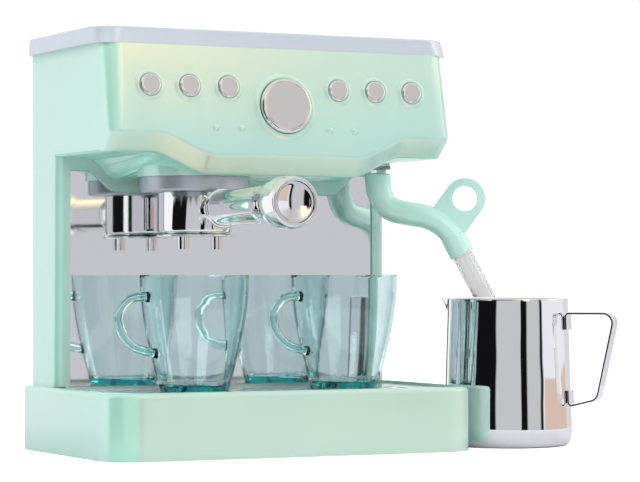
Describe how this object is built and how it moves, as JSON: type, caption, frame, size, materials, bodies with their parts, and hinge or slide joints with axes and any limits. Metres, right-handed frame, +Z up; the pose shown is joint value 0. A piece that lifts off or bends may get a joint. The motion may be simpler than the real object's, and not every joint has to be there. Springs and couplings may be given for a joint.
{
  "type": "toy coffee maker",
  "caption": "Toy espresso machine with push buttons, a dial, a twist-in filter holder, a swivelling steam wand, see-through mugs and a milk jug.",
  "frame": {"origin": "on the table, under the middle of the width and 64.5 mm behind the base's front", "axes": "+Z up, the front with its buttons faces -Y, the wand and the jug are on the +X side"},
  "size_m": [0.3113, 0.2031, 0.23],
  "materials": {
    "mint_shell": "satin, slightly pearly",
    "mint_plate": "satin",
    "silver_plastic": "satin silver lacquer",
    "mirror_panel": "polished, mirror-like silver film",
    "bright_plating": "polished chrome plating over plastic",
    "smoky_teal": "gloss, tinted see-through",
    "clear_plastic": "gloss, clear",
    "white_plastic": "satin",
    "grey_rubber": "matte",
    "pale_rubber": "matte",
    "screw_steel": "zinc plated"
  },
  "bodies": {
    "machine": {"base_shell": "mint_shell", "base_plate": "mint_plate", "rubber_feet": "grey_rubber", "base_screws": "screw_steel", "drip_tray": "silver_plastic", "housing": "mint_shell", "column_screws": "screw_steel", "back_cover": "mint_shell", "back_cover_screws": "screw_steel", "splash_panel": "mirror_panel", "lid": "silver_plastic", "group_collar": "silver_plastic", "collar_screws": "screw_steel", "button_pad": "pale_rubber", "button_carrier": "white_plastic", "carrier_screws": "screw_steel", "wand_pivot": "clear_plastic", "pivot_screw": "screw_steel"},
    "button_1_body": {"button_1": "bright_plating"},
    "button_2_body": {"button_2": "bright_plating"},
    "button_3_body": {"button_3": "bright_plating"},
    "button_4_body": {"button_4": "bright_plating"},
    "button_5_body": {"button_5": "bright_plating"},
    "button_6_body": {"button_6": "bright_plating"},
    "dial": {"dial_knob": "bright_plating", "dial_washer": "screw_steel", "dial_screw": "screw_steel"},
    "holder": {"portafilter_basket": "bright_plating", "spout_plate": "bright_plating", "portafilter_handle": "bright_plating", "handle_end_cap": "bright_plating"},
    "wand": {"wand_arm": "mint_shell", "wand_tube": "clear_plastic"},
    "mug_left_body": {"mug_left": "smoky_teal"},
    "mug_right_body": {"mug_right": "smoky_teal"},
    "jug": {"jug_body": "bright_plating", "jug_handle": "bright_plating"}
  },
  "joints": [
    {"name": "button_1_press", "type": "slide", "parent": "machine", "child": "button_1_body", "axis": [0, 0.9863, -0.165], "range_m": [0, 0.0016], "stiffness_N_per_m": 300, "springref_m": -0.0008, "deforming": ["button_pad"]},
    {"name": "button_2_press", "type": "slide", "parent": "machine", "child": "button_2_body", "axis": [0, 0.9863, -0.165], "range_m": [0, 0.0016], "stiffness_N_per_m": 300, "springref_m": -0.0008, "deforming": ["button_pad"]},
    {"name": "button_3_press", "type": "slide", "parent": "machine", "child": "button_3_body", "axis": [0, 0.9863, -0.165], "range_m": [0, 0.0016], "stiffness_N_per_m": 300, "springref_m": -0.0008, "deforming": ["button_pad"]},
    {"name": "button_4_press", "type": "slide", "parent": "machine", "child": "button_4_body", "axis": [0, 0.9863, -0.165], "range_m": [0, 0.0016], "stiffness_N_per_m": 300, "springref_m": -0.0008, "deforming": ["button_pad"]},
    {"name": "button_5_press", "type": "slide", "parent": "machine", "child": "button_5_body", "axis": [0, 0.9863, -0.165], "range_m": [0, 0.0016], "stiffness_N_per_m": 300, "springref_m": -0.0008, "deforming": ["button_pad"]},
    {"name": "button_6_press", "type": "slide", "parent": "machine", "child": "button_6_body", "axis": [0, 0.9863, -0.165], "range_m": [0, 0.0016], "stiffness_N_per_m": 300, "springref_m": -0.0008, "deforming": ["button_pad"]},
    {"name": "dial_turn", "type": "hinge", "parent": "machine", "child": "dial", "pos_m": [0, -0.04132, 0.1891], "axis": [0, -0.9863, 0.165], "continuous": true},
    {"name": "holder_twist", "type": "hinge", "parent": "machine", "child": "holder", "pos_m": [-0.0356, -0.001, 0.143], "axis": [0, 0, 1], "range_deg": [-45, 0]},
    {"name": "wand_swivel", "type": "hinge", "parent": "machine", "child": "wand", "pos_m": [0.0855, 0.012, 0.15], "axis": [0, 0, 1], "range_deg": [-65, 50]},
    {"name": "mug_left_take", "type": "slide", "parent": "machine", "child": "mug_left_body", "axis": [0, -0.9945, 0.1045], "range_m": [0, 0.1]},
    {"name": "mug_right_take", "type": "slide", "parent": "machine", "child": "mug_right_body", "axis": [0, -0.9945, 0.1045], "range_m": [0, 0.1]},
    {"name": "jug_take", "type": "slide", "parent": "machine", "child": "jug", "axis": [1, 0, 0], "range_m": [0, 0.1]}
  ]
}
